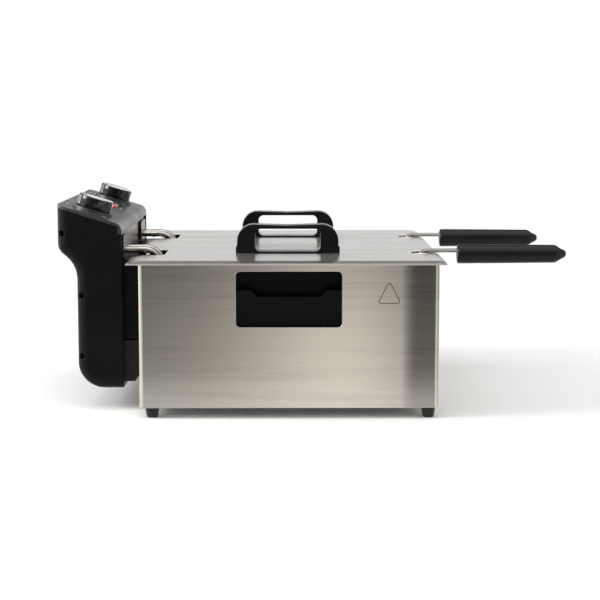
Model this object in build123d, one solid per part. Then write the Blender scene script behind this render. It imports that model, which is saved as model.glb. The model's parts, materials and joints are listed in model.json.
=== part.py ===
from build123d import *
import math
import os

os.makedirs("parts", exist_ok=True)

# A double-tank deep fryer. X runs from the control head (-X) to the basket grips (+X), Z is up.
# The model is drawn about the casing's centre, then moved so the whole object's box is centred on X.

# Casing
body_length = 300.0
body_width = 375.2
body_top = 156.4
casing_sheet = 1.0
casing_corner = 5.0
casing_top_flange = 3.5
casing_base_flange = 18.0
base_fit = 0.4
vent_count = 9
vent_width = 5.0
vent_length = 90.0
vent_pitch = 22.0

# Feet
foot_height = 11.0
foot_top_radius = 7.3
foot_bottom_radius = 5.6
foot_pocket_fit = 0.8
foot_pocket_depth = 4.0
foot_inset_rear = 12.3
foot_inset_front = 9.8
foot_inset_side = 12.0
base_screw_inset = 60.0

# Fasteners
screw_radius = 1.5
screw_fit = 0.15
screw_head_overhang = 1.3
screw_head_height = 1.8
screw_head_round = 0.6
screw_slot_width = 0.6
screw_slot_depth = 0.4

# Tanks
tank_end_gap = 5.5
tank_side_gap = 3.1
tank_depth = 119.0
tank_sheet = 1.0
tank_corner = 20.0
tank_floor_corner = 10.0
rim_sheet = 1.2
rim_clearance = 1.0
support_bar_width = 24.0
support_bar_height = 8.0

# Lids
lid_sheet = 1.0
lid_gap = 0.4
lid_over_side = 9.4
lid_over_rear = 11.0
lid_over_front = 6.0
lid_fall = 2.1
lid_lip = 1.5
lid_seam = 0.8
skirt_clearance = 1.5
skirt_depth = 8.0
tube_notch_width = 58.0
tube_notch_end = 22.0
tube_notch_corner = 8.0
wire_slot_room = 7.4
wire_slot_width = 18.0

# Lid handles
lid_handle_x = -1.2
lid_handle_length = 108.0
lid_handle_depth = 22.0
lid_handle_base = 7.0
lid_handle_rise = 30.3
lid_handle_step = 1.4
lid_handle_shoulder = 17.0
lid_handle_dip = 1.5
finger_gap_length = 68.0
finger_gap_floor = 1.8
finger_gap_top = 25.3
finger_gap_corner = 6.0
lid_screw_spacing = 88.0

# Carrying recesses in the long sides
recess_width = 105.4
recess_height = 55.8
recess_below_top = 8.2
recess_corner = 4.5
recess_depth = 18.0
recess_wall = 2.0
recess_flange_side = 9.0
recess_flange_edge = 6.0
recess_fit = 0.3
bar_rise = 14.4
bar_height = 16.0
bar_depth = 8.0
bar_end_step = 6.5
bar_end_inner = 32.0
bar_end_slope = 5.0
recess_skirt_depth = 6.0
recess_screw_inset = 6.0

# Baskets
basket_rear_gap = 25.0
basket_front_gap = 26.0
basket_side_gap = 10.0
basket_below_top = 15.4
basket_element_gap = 5.75
basket_wall = 2.0
basket_corner = 14.0
socket_wall = 1.2
socket_depth = 34.0
bracket_thickness = 1.5

# Basket handles
wire_radius = 1.6
wire_spacing = 12.0
wire_bend = 7.0
wire_lid_clearance = 0.3
wire_fit = 0.3
wire_inset = 7.5
wire_end_gap = 2.0
grip_stand_off = 25.5
grip_length = 113.7
grip_radius = 10.15
grip_drop = 3.6
grip_taper = 15.0
grip_tip_radius = 4.0
grip_wire_length = 30.0
hang_hole_radius = 2.2
grip_screw_x = 22.0

# Control head
head_stand_off = 20.0
head_neck_depth = 47.0
head_depth = 66.0
head_bottom = 22.0
head_rise = 55.6
head_side_inset = 45.6
head_wall = 2.5
head_slope = 17.5
head_front_corner = 9.0
head_foot_radius = 27.0
head_neck_below_top = 7.4
head_shoulder_rise = 8.6
head_neck_radius = 30.0
head_shoulder_radius = 13.8
head_side_round = 12.0
side_screw_inset = 5.0
side_boss_wall = 1.5
side_boss_length = 11.0
side_bore_fit = 0.2
side_bore_depth = 6.0
side_screw_below_peak = (30.0, 93.5, 156.0)
panel_thickness = 3.0
panel_lip_rise = 25.1
panel_lip_depth = 4.0
front_plate_sheet = 1.0
front_plate_recess = 2.6
front_plate_fit = 0.3
front_plate_bottom = 28.0

# Slide between head and casing
slide_gap = 1.0
slide_side_inset = 12.0
slide_below_top = 2.4
slide_height = 82.0
spacer_bottom = 28.2
spacer_gap = 1.0
slide_screw_inset = 15.0
slide_screw_bite = 8.0
spacer_chamfer_x = 8.0
spacer_chamfer_z = 12.0
rail_y = 70.0
rail_head_width = 18.0
rail_head_thickness = 3.0
rail_web_width = 8.0
rail_depth = 10.0
rail_end_gap = 8.0
rail_screw_inset = 12.0
rail_clearance = 0.5

# Knobs, lamps and switches
knob_radius = 18.1
knob_height = 12.0
knob_round = 0.8
knob_along = 33.4
knob_gap = 0.6
ring_radius = 21.0
ring_height = 3.0
shaft_radius = 3.0
shaft_fit = 0.05
shaft_in_knob = 9.0
shaft_below_panel = 8.0
bush_wall = 2.5
bush_length = 6.0
bush_fit = 0.1
thermostat_size = (28.0, 30.0, 18.0)
lamp_along = 44.0
lamp_radius = 3.0
lamp_dome = 3.2
lamp_body = 10.0
lamp_spacing = 14.0
lamp_middle = 22.0
lamp_fit = 0.1
reset_beside_tank = 42.5
reset_above_tube = 7.3
reset_width = 20.0
reset_height = 5.0
reset_play = 0.5
reset_depth = 8.0
reset_travel_room = 2.0
cutout_size = (14.0, 26.0, 18.0)
plunger_radius = 2.5
plunger_fit = 0.4
plunger_below_slide = 20.0
plunger_gap = 0.4
plunger_inside = 6.0
switch_size = (16.0, 28.0, 16.0)
switch_travel_room = 2.5
terminal_size = (18.0, 44.0, 20.0)
terminal_z = 100.0
gland_y = 90.0
gland_z = 62.0
gland_bore = 3.6
gland_wall = 2.9
gland_fit = 0.05
gland_flange_overhang = 2.5
gland_flange_thickness = 2.5
gland_length = 12.0

# Heating elements
tube_radius = 3.25
tube_spacing = 24.0
tube_rim_gap = 2.35
tube_inside_head = 14.0
tube_drop_gap = 11.0
tube_top_bend = 16.0
tube_bottom_bend = 12.0
element_floor_gap = 6.35
element_side_gap = 24.0
element_front_gap = 40.5
element_turn_in = 17.5
element_turn_out = 24.0
element_side_bend = 14.0
element_loop_flat = 8.0
tube_fit = 0.1
element_plate_width = 50.0
element_plate_below = 8.4
element_plate_above = 14.8
element_plate_sheet = 1.2
element_plate_proud = 0.4
element_plate_corner = 3.0
boss_radius = 3.0
boss_inset_side = 5.0
boss_inset_top = 6.0
probe_radius = 1.6
probe_bulb_radius = 3.0
probe_bulb_length = 70.0
probe_bend = 15.0
probe_shorter = 4.0
probe_behind_legs = 1.0
probe_above_loop = 22.0

# Worked-out sizes of fasteners and fits
screw_hole_radius = screw_radius + screw_fit
screw_head_radius = screw_radius + screw_head_overhang
foot_pocket_radius = screw_head_radius + foot_pocket_fit
side_bore_radius = screw_head_radius + side_bore_fit
side_boss_radius = side_bore_radius + side_boss_wall
bush_radius = shaft_radius + bush_wall
plunger_hole_radius = plunger_radius + plunger_fit
gland_radius = gland_bore + gland_wall
gland_flange = gland_radius + gland_flange_overhang
wire_slot_length = wire_spacing + 2 * (wire_radius + wire_slot_room)

# Worked-out places on the casing
half_length = body_length / 2
half_width = body_width / 2
recess_top = body_top - recess_below_top
recess_bottom = recess_top - recess_height
bar_bottom = recess_bottom + bar_rise
bar_top = bar_bottom + bar_height
bar_end_top = bar_top + bar_end_step

# Worked-out places of tanks and lids
lid_side = half_width + lid_over_side
tank_y = lid_side / 2
rim_top = body_top + rim_sheet
lid_top = rim_top + lid_gap + lid_sheet
tank_length = body_length - 2 * tank_end_gap
tank_end = tank_length / 2
side_room = casing_sheet + recess_depth + recess_wall + tank_side_gap + tank_sheet
tank_width = 2 * (half_width - side_room - tank_y)
tank_floor = body_top - tank_depth

# Worked-out places of heating elements and baskets
tube_z = rim_top + tube_rim_gap + tube_radius
tube_drop_x = -tank_end + tube_drop_gap
element_z = tank_floor + tank_sheet + element_floor_gap + tube_radius
element_half_width = tank_width / 2 - element_side_gap
basket_bottom = element_z + tube_radius + basket_element_gap
basket_top = body_top - basket_below_top
basket_width = tank_width - 2 * basket_side_gap
wire_x = tank_end - wire_inset
wire_z = lid_top + wire_lid_clearance + wire_radius
grip_z = wire_z - grip_drop
grip_start = half_length + grip_stand_off
grip_end = grip_start + grip_length

# Worked-out places of the control head
head_front = -half_length - head_stand_off
head_neck = head_front - head_neck_depth
head_back = head_front - head_depth
head_peak = body_top + head_rise
head_half_width = half_width - head_side_inset
head_neck_height = body_top - head_neck_below_top
head_shoulder_height = body_top + head_shoulder_rise
panel_lip_bottom = body_top + panel_lip_rise
front_plate_face = head_front - front_plate_recess
slide_face = -half_length - slide_gap
slide_half_width = head_half_width - slide_side_inset
slide_top = body_top - slide_below_top
slide_bottom = slide_top - slide_height
rail_top = slide_top - rail_end_gap
rail_bottom = slide_bottom + rail_end_gap
plunger_z = slide_top - plunger_below_slide
reset_y = reset_beside_tank - tank_y
reset_z = tube_z + reset_above_tube
tube_start = head_front - tube_inside_head
element_plate_face = head_front + element_plate_proud
element_plate_bottom = tube_z - element_plate_below
element_plate_top = tube_z + element_plate_above
panel_plane = Plane(
    origin=(head_back, 0, head_peak),
    x_dir=(math.cos(math.radians(head_slope)), 0, -math.sin(math.radians(head_slope))),
    z_dir=(math.sin(math.radians(head_slope)), 0, math.cos(math.radians(head_slope))),
)
object_middle = (grip_end + head_back) / 2


def block(x0, x1, y0, y1, z0, z1):
    box = Box(x1 - x0, y1 - y0, z1 - z0)
    return Pos((x0 + x1) / 2, (y0 + y1) / 2, (z0 + z1) / 2) * box


def slab(x0, x1, y0, y1, z0, z1, radius):
    # A block whose upright corners are rounded.
    plan = RectangleRounded(x1 - x0, y1 - y0, radius)
    return Pos((x0 + x1) / 2, (y0 + y1) / 2, z0) * extrude(plan, z1 - z0)


def rod_z(x, y, z0, z1, radius):
    return Pos(x, y, (z0 + z1) / 2) * Cylinder(radius, z1 - z0)


def rod_x(x0, x1, y, z, radius):
    return Pos((x0 + x1) / 2, y, z) * Rot(0, 90, 0) * Cylinder(radius, x1 - x0)


def rod_y(x, y0, y1, z, radius):
    return Pos(x, (y0 + y1) / 2, z) * Rot(90, 0, 0) * Cylinder(radius, y1 - y0)


def nearest(shape, point):
    return shape.vertices().sort_by_distance(Vector(point[0], point[1], 0))[0]


def screw(length):
    # Pan head above the origin, shank below it.
    head = Pos(0, 0, screw_head_height / 2) * Cylinder(screw_head_radius, screw_head_height)
    shank = Pos(0, 0, -length / 2) * Cylinder(screw_radius, length)
    slot = Box(2 * screw_head_radius, screw_slot_width, 2 * screw_slot_depth)
    rounded = fillet((head + shank).faces().sort_by(Axis.Z)[-1].edges(), screw_head_round)
    return rounded - Pos(0, 0, screw_head_height) * slot


def group(shapes):
    return Compound([solid for shape in shapes for solid in shape.solids()])


def far(shape):
    return mirror(shape, about=Plane.XZ)


def foot_places():
    rear = -half_length + foot_inset_rear
    front = half_length - foot_inset_front
    side = half_width - foot_inset_side
    return {
        "rear_near": (rear, -side),
        "rear_far": (rear, side),
        "front_near": (front, -side),
        "front_far": (front, side),
    }


def base_screw_places():
    x = half_length - casing_base_flange / 2
    return [(sx * x, sy * base_screw_inset) for sx in (-1, 1) for sy in (-1, 1)]


def recess_outline(grow):
    height = recess_top - recess_bottom + 2 * grow
    plan = RectangleRounded(recess_width + 2 * grow, height, recess_corner + max(grow, 0))
    return Plane.XZ * Pos(0, (recess_top + recess_bottom) / 2) * plan


def recess_slug(grow, y0, y1):
    # The recess outline pushed from y0 to y1 on the near side.
    return Pos(0, y1, 0) * extrude(recess_outline(grow), y1 - y0)


def housing_shell():
    z0 = foot_height
    inner = casing_sheet
    shell = slab(-half_length, half_length, -half_width, half_width, z0, body_top, casing_corner)
    shell -= slab(
        -half_length + inner,
        half_length - inner,
        -half_width + inner,
        half_width - inner,
        z0 + inner,
        body_top - inner,
        casing_corner - inner,
    )
    for flange, low, high in (
        (casing_top_flange, body_top - inner, body_top),
        (casing_base_flange, z0, z0 + inner),
    ):
        shell -= slab(
            -half_length + flange,
            half_length - flange,
            -half_width + flange,
            half_width - flange,
            low,
            high,
            casing_corner,
        )
    side_hole = recess_slug(0, -half_width - 1, -half_width + inner + 1)
    shell -= side_hole
    shell -= far(side_hole)
    for x, y in list(foot_places().values()) + base_screw_places():
        shell -= rod_z(x, y, z0 - 1, z0 + inner + 1, screw_hole_radius)
    for y in (-rail_y, rail_y):
        for z in rail_screw_heights():
            shell -= rod_x(-half_length - 1, -half_length + inner + 1, y, z, screw_hole_radius)
    return shell


def base_plate():
    z0 = foot_height + casing_sheet
    edge_x = half_length - casing_sheet - base_fit
    edge_y = half_width - casing_sheet - base_fit
    corner = casing_corner - casing_sheet
    plate = slab(-edge_x, edge_x, -edge_y, edge_y, z0, z0 + casing_sheet, corner)
    for side in (-1, 1):
        for i in range(vent_count):
            x = (i - (vent_count - 1) / 2) * vent_pitch
            y = side * tank_y
            vent = slab(
                x - vent_width / 2,
                x + vent_width / 2,
                y - vent_length / 2,
                y + vent_length / 2,
                z0 - 1,
                z0 + casing_sheet + 1,
                vent_width / 2 - 0.01,
            )
            plate -= vent
    for x, y in list(foot_places().values()) + base_screw_places():
        plate -= rod_z(x, y, z0 - 1, z0 + casing_sheet + 1, screw_hole_radius)
    return plate


def tank_support_bar():
    # A channel, open below, welded between the casing's turned-in top edges.
    x = half_length - casing_top_flange
    y = support_bar_width / 2
    low = body_top - support_bar_height
    wall = casing_sheet
    bar = block(-x, x, -y, y, low, body_top)
    return bar - block(-x + wall, x - wall, -y + wall, y - wall, low - wall, body_top - wall)


def foot(x, y):
    body = Pos(x, y, foot_height / 2) * Cone(foot_bottom_radius, foot_top_radius, foot_height)
    pocket = rod_z(x, y, 0, foot_pocket_depth, foot_pocket_radius)
    return body - pocket - rod_z(x, y, 0, foot_height, screw_hole_radius)


def foot_screws():
    length = foot_height - foot_pocket_depth + 3 * casing_sheet
    one = Rot(180, 0, 0) * screw(length)
    return group(Pos(x, y, foot_pocket_depth) * one for x, y in foot_places().values())


def base_screws():
    one = Rot(180, 0, 0) * screw(3 * casing_sheet)
    return group(Pos(x, y, foot_height) * one for x, y in base_screw_places())


def side_handle():
    face = -half_width + casing_sheet
    back = face + recess_depth
    flange = block(
        -recess_width / 2 - recess_flange_side,
        recess_width / 2 + recess_flange_side,
        face,
        face + recess_wall,
        recess_bottom - recess_flange_edge,
        recess_top + recess_flange_edge,
    )
    cup = recess_slug(recess_wall, face, back + recess_wall)
    body = flange + cup - recess_slug(0, face - 1, back)
    half = recess_width / 2
    bar = block(-half, half, face, face + bar_depth, bar_bottom, bar_top)
    for side in (-1, 1):
        outline = Polyline(
            (side * half, bar_top),
            (side * bar_end_inner, bar_top),
            (side * (bar_end_inner + bar_end_slope), bar_end_top),
            (side * half, bar_end_top),
            close=True,
        )
        cheek = extrude(Plane.XZ * make_face(outline), bar_depth)
        bar += Pos(0, face + bar_depth, 0) * cheek
    skirt = block(-half, half, face + recess_skirt_depth, back, recess_bottom, bar_bottom)
    body = body + bar + skirt
    for x, z in recess_screw_places():
        body -= rod_y(x, face - 1, face + recess_wall + 1, z, screw_hole_radius)
    return body


def recess_screw_places():
    x = recess_width / 2 + recess_screw_inset
    middle = (recess_top + recess_bottom) / 2
    return [(-x, middle), (x, middle)]


def side_handle_screws():
    face = -half_width + casing_sheet + recess_wall
    one = Rot(-90, 0, 0) * screw(recess_wall)
    near = [Pos(x, face, z) * one for x, z in recess_screw_places()]
    return group(near + [far(shape) for shape in near])


def rail_screw_heights():
    return [rail_bottom + rail_screw_inset, rail_top - rail_screw_inset]


def rail_section(grow, low, high, y):
    # The T-shaped rail, or with grow the groove that runs on it.
    web = rail_web_width / 2 + grow
    head = rail_head_width / 2 + grow
    tip = -half_length - rail_depth
    stem = block(tip, -half_length, y - web, y + web, low, high)
    cap = block(tip - grow, tip + rail_head_thickness + grow, y - head, y + head, low, high)
    return stem + cap


def guide_rail(y):
    rail = rail_section(0, rail_bottom, rail_top, y)
    for z in rail_screw_heights():
        rail -= rod_x(-half_length - rail_depth, -half_length, y, z, screw_hole_radius)
    return rail


def guide_rail_screws():
    one = Rot(0, 90, 0) * screw(rail_depth)
    places = [(y, z) for y in (-rail_y, rail_y) for z in rail_screw_heights()]
    return group(Pos(-half_length + casing_sheet, y, z) * one for y, z in places)


def tank_bowl(grow, low):
    # The drawn bowl's outside, or with no grow its inside, up to the rim.
    half_x = tank_end + grow
    half_y = tank_width / 2 + grow
    bowl = slab(-half_x, half_x, -tank_y - half_y, -tank_y + half_y, low, rim_top, tank_corner + grow)
    return fillet(bowl.faces().sort_by(Axis.Z)[0].edges(), tank_floor_corner + grow)


def tank():
    rim = slab(
        -half_length + rim_clearance,
        half_length - rim_clearance,
        -half_width + rim_clearance,
        -lid_seam,
        body_top,
        rim_top,
        casing_corner - rim_clearance,
    )
    return tank_bowl(tank_sheet, tank_floor) + rim - tank_bowl(0, tank_floor + tank_sheet)


def lid_plate(drop, shrink, past_seam):
    # The flat top and the sloping margin, as a solid lowered by drop.
    z_edge = lid_top - lid_fall - drop
    x_rear = -half_length - lid_over_rear + shrink
    x_front = half_length + lid_over_front - shrink
    y_side = -lid_side + shrink
    y_seam = -lid_seam / 2 + past_seam
    lower = Pos((x_rear + x_front) / 2, (y_side + y_seam) / 2, z_edge) * Rectangle(
        x_front - x_rear, y_seam - y_side
    )
    upper = Pos(0, (-half_width + y_seam) / 2, lid_top - drop) * Rectangle(
        body_length, y_seam + half_width
    )
    lip = block(x_rear, x_front, y_side, y_seam, lid_top - lid_fall - lid_lip - 2 * drop, z_edge)
    return loft([lower.face(), upper.face()], ruled=True) + lip


def skirt_ring(inset, low):
    # The block that the skirt's outer or inner wall bounds, inset from the tank's mouth.
    half_x = tank_end - inset
    half_y = tank_width / 2 - inset
    high = lid_top - lid_sheet
    return slab(-half_x, half_x, -tank_y - half_y, -tank_y + half_y, low, high, tank_corner - inset)


def lid():
    y = -tank_y
    low = lid_top - lid_sheet - skirt_depth
    plate = lid_plate(0, 0, 0) - lid_plate(lid_sheet, lid_sheet, lid_sheet)
    plate += skirt_ring(skirt_clearance, low) - skirt_ring(skirt_clearance + lid_sheet, low)
    plate -= slab(
        -half_length - 2 * lid_over_rear - tube_notch_corner,
        -half_length + tube_notch_end,
        y - tube_notch_width / 2,
        y + tube_notch_width / 2,
        low - 1,
        lid_top + 1,
        tube_notch_corner,
    )
    plate -= slab(
        wire_x - wire_slot_width / 2,
        wire_x + wire_slot_width / 2,
        y - wire_slot_length / 2,
        y + wire_slot_length / 2,
        low - 1,
        lid_top + 1,
        wire_slot_width / 2 - 0.01,
    )
    for x in lid_screw_places():
        plate -= rod_z(x, y, low, lid_top + 1, screw_hole_radius)
    return plate


def lid_screw_places():
    return [lid_handle_x - lid_screw_spacing / 2, lid_handle_x + lid_screw_spacing / 2]


def lid_handle():
    half = lid_handle_length / 2
    leg = half - lid_handle_step
    top = lid_handle_rise
    arch = Polyline((-leg, 0), (-leg, top), (0, top - lid_handle_dip), (leg, top), (leg, 0), close=True)
    outline = make_face(arch)
    for side in (-1, 1):
        outline = fillet(nearest(outline, (side * leg, top)), lid_handle_shoulder)
    gap_height = finger_gap_top - finger_gap_floor
    gap = Pos(0, finger_gap_floor + gap_height / 2) * RectangleRounded(
        finger_gap_length, gap_height, finger_gap_corner
    )
    bow = extrude(Plane.XZ * outline, lid_handle_depth / 2, both=True)
    base = Pos(0, 0, lid_handle_base / 2) * Box(lid_handle_length, lid_handle_depth, lid_handle_base)
    body = bow + base - extrude(Plane.XZ * gap, lid_handle_depth, both=True)
    body = Pos(lid_handle_x, -tank_y, lid_top) * body
    for x in lid_screw_places():
        body -= rod_z(x, -tank_y, lid_top, lid_top + lid_handle_base, screw_radius)
    return body


def lid_handle_screws():
    one = Rot(180, 0, 0) * screw(lid_sheet + lid_handle_base)
    return group(Pos(x, -tank_y, lid_top - lid_sheet) * one for x in lid_screw_places())


def basket():
    x0 = -tank_end + basket_rear_gap
    x1 = tank_end - basket_front_gap
    y0 = -tank_y - basket_width / 2
    y1 = -tank_y + basket_width / 2
    wall = basket_wall
    outer = slab(x0, x1, y0, y1, basket_bottom, basket_top, basket_corner)
    inner = slab(
        x0 + wall, x1 - wall, y0 + wall, y1 - wall, basket_bottom + wall, basket_top, basket_corner - wall
    )
    return outer - inner


def wire_places():
    return [-tank_y - wire_spacing / 2, -tank_y + wire_spacing / 2]


def basket_bracket():
    x1 = tank_end - basket_front_gap
    low = basket_top - socket_depth
    outer = wire_radius + wire_fit + socket_wall
    width = wire_spacing / 2 + outer
    plate = block(x1, x1 + bracket_thickness, -tank_y - width, -tank_y + width, low, basket_top)
    arm_low = basket_top - socket_depth / 2
    body = plate
    for y in wire_places():
        arm = block(x1, wire_x, y - outer, y + outer, arm_low - outer, arm_low + outer)
        body += arm + rod_z(wire_x, y, low, basket_top, outer)
    for y in wire_places():
        body -= rod_z(wire_x, y, low, basket_top, wire_radius + wire_fit)
    return body


def handle_wires():
    end = grip_start + grip_wire_length
    foot_z = basket_top - socket_depth + wire_end_gap
    wires = []
    for y in wire_places():
        path = FilletPolyline((end, y, wire_z), (wire_x, y, wire_z), (wire_x, y, foot_z), radius=wire_bend)
        section = Plane(origin=(end, y, wire_z), z_dir=(-1, 0, 0)) * Circle(wire_radius)
        wires.append(sweep(section, path=path))
    return group(wires)


def grip():
    # Turned about the X axis, with a blunt inner end and a tapered tip.
    outline = Polyline(
        (grip_start, 0),
        (grip_start, grip_radius),
        (grip_end - grip_taper, grip_radius),
        (grip_end, grip_tip_radius),
        (grip_end, 0),
        close=True,
    )
    body = revolve(Plane.XZ * make_face(outline), Axis.X)
    body = Pos(0, -tank_y, grip_z) * body
    flat = grip_radius - grip_drop
    for y in wire_places():
        body -= rod_x(grip_start, grip_start + grip_wire_length, y, wire_z, wire_radius)
    hole_x = grip_end - grip_taper / 2
    body -= rod_z(hole_x, -tank_y, grip_z - grip_radius, grip_z + grip_radius, hang_hole_radius)
    for x in grip_screw_places():
        body -= rod_z(x, -tank_y, grip_z - grip_radius, grip_z + flat, screw_radius)
        body -= rod_z(x, -tank_y, grip_z - grip_radius, grip_z - flat, screw_head_radius)
    return body


def grip_screw_places():
    return [grip_start + grip_screw_x, grip_end - grip_taper - grip_screw_x]


def grip_screws():
    flat = grip_radius - grip_drop
    length = 2 * flat
    one = Rot(180, 0, 0) * screw(length)
    return group(Pos(x, -tank_y, grip_z - flat) * one for x in grip_screw_places())


def head_outline():
    front_peak = head_peak - (head_front - head_back) * math.tan(math.radians(head_slope))
    corners = [
        ((head_back, head_peak), 0),
        ((head_front, front_peak), head_front_corner),
        ((head_front, head_bottom), 0),
        ((head_neck, head_bottom), head_foot_radius),
        ((head_neck, head_neck_height), head_neck_radius),
        ((head_back, head_shoulder_height), head_shoulder_radius),
    ]
    face = make_face(Polyline(*[point for point, _ in corners], close=True))
    for point, radius in corners:
        if radius:
            face = fillet(nearest(face, point), radius)
    return face


def head_solid(inset):
    face = head_outline()
    if inset:
        face = offset(face, -inset)
    half = head_half_width - inset
    body = extrude(Plane.XZ * face, half, both=True)
    rear = body.edges().filter_by(
        lambda e: abs(abs(e.center().Y) - half) < 0.01
        and e.center().X < head_neck + 1
        and e.center().Z < head_peak - 2 * inset - 5
    )
    return fillet(rear, head_side_round - inset)


def panel_space():
    # The layer of the head that the control panel takes up.
    length = 2 * (head_front - head_back)
    room = 2 * head_half_width + 20
    layer = panel_plane * Pos(length / 2 - 10, 0, 10 - panel_thickness) * Box(length, room, 20)
    lip = block(
        head_front - panel_lip_depth,
        head_front + 10,
        -room / 2,
        room / 2,
        panel_lip_bottom,
        head_peak,
    )
    return layer + lip


def head_cover(outer):
    cover = outer - head_solid(head_wall) - panel_space()
    inside = head_half_width - head_wall
    low = front_plate_bottom - front_plate_fit
    cover -= block(head_front - 2 * head_wall, head_front + 1, -inside, inside, low, panel_lip_bottom)
    for x, z in side_screw_places():
        for side in (-1, 1):
            y = side * head_half_width
            inner = y - side * side_boss_length
            cover += outer & rod_y(x, min(y, inner), max(y, inner), z, side_boss_radius)
            cover -= rod_y(x, y - side_bore_depth, y + side_bore_depth, z, side_bore_radius)
            cover -= rod_y(x, min(y, inner), max(y, inner), z, screw_hole_radius)
    cover -= rod_x(head_neck - 1, head_neck + head_wall + 1, gland_y, gland_z, gland_radius + gland_fit)
    return cover


def side_screw_places():
    backs = (head_back, head_neck, head_neck)
    return [(x + side_screw_inset, head_peak - z) for x, z in zip(backs, side_screw_below_peak)]


def head_side_screws():
    shapes = []
    for x, z in side_screw_places():
        near = Pos(x, -head_half_width + side_bore_depth, z) * Rot(90, 0, 0) * screw(side_boss_length)
        shapes += [near, far(near)]
    return group(shapes)


def control_panel(outer):
    panel = outer & panel_space()
    for y in (-tank_y, tank_y):
        panel += panel_plane * Pos(knob_along, y, ring_height / 2) * Cylinder(ring_radius, ring_height)
    for y in (-tank_y, tank_y):
        hole = Cylinder(bush_radius + bush_fit, 2 * (panel_thickness + ring_height))
        panel -= panel_plane * Pos(knob_along, y, 0) * hole
    for y in lamp_places():
        panel -= panel_plane * Pos(lamp_along, y, 0) * Cylinder(lamp_radius + lamp_fit, 4 * panel_thickness)
    return panel


def lamp_places():
    return [lamp_middle - lamp_spacing / 2, lamp_middle + lamp_spacing / 2]


def lamp(y):
    barrel = Pos(0, 0, -lamp_body / 2) * Cylinder(lamp_radius, lamp_body)
    dome = Pos(0, 0, lamp_dome / 2) * Cylinder(lamp_radius, lamp_dome)
    dome = fillet(dome.faces().sort_by(Axis.Z)[-1].edges(), lamp_dome * 0.8)
    return panel_plane * Pos(lamp_along, y, 0) * (barrel + dome)


def head_front_plate():
    inside = head_half_width - head_wall - front_plate_fit
    x0 = front_plate_face - front_plate_sheet
    plate = block(x0, front_plate_face, -inside, inside, front_plate_bottom, panel_lip_bottom)
    for side in (-1, 1):
        for y in tube_places():
            plate -= rod_x(x0 - 1, front_plate_face + 1, side * y, tube_z, tube_radius + 1)
        plate -= rod_x(x0 - 1, front_plate_face + 1, side * tank_y, tube_z, probe_radius + 1)
    width = reset_width / 2 + reset_play
    height = reset_height / 2 + reset_play
    plate -= block(
        x0 - 1,
        front_plate_face + 1,
        reset_y - width,
        reset_y + width,
        reset_z - height,
        reset_z + height,
    )
    plate -= rod_x(x0 - 1, front_plate_face + 1, 0, plunger_z, plunger_hole_radius)
    for y, z in block_screw_places():
        plate -= rod_x(x0 - 1, front_plate_face + 1, y, z, screw_hole_radius)
    return plate


def slide_block():
    half = slide_half_width
    body = block(front_plate_face, slide_face, -half, half, slide_bottom, slide_top)
    for y in (-rail_y, rail_y):
        groove_top = rail_top + rail_clearance
        body -= rail_section(rail_clearance, slide_bottom, groove_top, y)
    body -= rod_x(front_plate_face - 1, slide_face + 1, 0, plunger_z, plunger_hole_radius)
    for y, z in block_screw_places():
        if z > slide_bottom:
            body -= rod_x(front_plate_face, front_plate_face + slide_screw_bite, y, z, screw_radius)
    return body


def lower_spacer():
    # Its lower edge towards the casing is cut off at a slant.
    top = slide_bottom - spacer_gap
    outline = Polyline(
        (front_plate_face, spacer_bottom),
        (slide_face - spacer_chamfer_x, spacer_bottom),
        (slide_face, spacer_bottom + spacer_chamfer_z),
        (slide_face, top),
        (front_plate_face, top),
        close=True,
    )
    body = extrude(Plane.XZ * make_face(outline), slide_half_width, both=True)
    for y in (-rail_y, rail_y):
        body -= rail_section(rail_clearance, spacer_bottom, top, y)
    for y, z in block_screw_places():
        if z < slide_bottom:
            body -= rod_x(front_plate_face, front_plate_face + slide_screw_bite, y, z, screw_radius)
    return body


def block_screw_places():
    y = slide_half_width - slide_screw_inset
    upper = (slide_bottom + slide_top) / 2
    lower = (spacer_bottom + slide_bottom) / 2
    return [(sy * y, z) for sy in (-1, 1) for z in (lower, upper)]


def slide_block_screws():
    one = Rot(0, -90, 0) * screw(front_plate_sheet + slide_screw_bite - 1)
    x = front_plate_face - front_plate_sheet
    return group(Pos(x, y, z) * one for y, z in block_screw_places())


def knob():
    body = Pos(0, 0, knob_height / 2) * Cylinder(knob_radius, knob_height)
    body = fillet(body.faces().sort_by(Axis.Z)[-1].edges(), knob_round)
    body -= Pos(0, 0, shaft_in_knob / 2) * Cylinder(shaft_radius, shaft_in_knob)
    mark = Pos(0, 0, knob_height) * Box(1.6, 1.2, 0.8)
    body -= Pos(-knob_radius * 0.7, 0, 0) * mark
    return panel_plane * Pos(knob_along, -tank_y, ring_height + knob_gap) * body


def knob_shaft():
    top = ring_height + knob_gap + shaft_in_knob
    length = top + panel_thickness + shaft_below_panel
    body = Pos(0, 0, top - length / 2) * Cylinder(shaft_radius, length)
    return panel_plane * Pos(knob_along, -tank_y, 0) * body


def thermostat():
    length, width, height = thermostat_size
    case = Pos(0, 0, -panel_thickness - height / 2) * Box(length, width, height)
    bush = Pos(0, 0, -panel_thickness + bush_length / 2) * Cylinder(bush_radius, bush_length)
    body = case + bush
    bore = Cylinder(shaft_radius + shaft_fit, 2 * (panel_thickness + shaft_below_panel + 0.5))
    return panel_plane * Pos(knob_along, -tank_y, 0) * (body - bore)


def thermal_cutout():
    length, width, height = cutout_size
    x1 = front_plate_face - reset_depth - reset_travel_room
    z = reset_z
    return block(
        x1 - length, x1, reset_y - width / 2, reset_y + width / 2, z - height / 2, z + height / 2
    )


def reset_button():
    return slab_x(
        front_plate_face - reset_depth, front_plate_face, reset_y, reset_z, reset_width, reset_height, 1.5
    )


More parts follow.
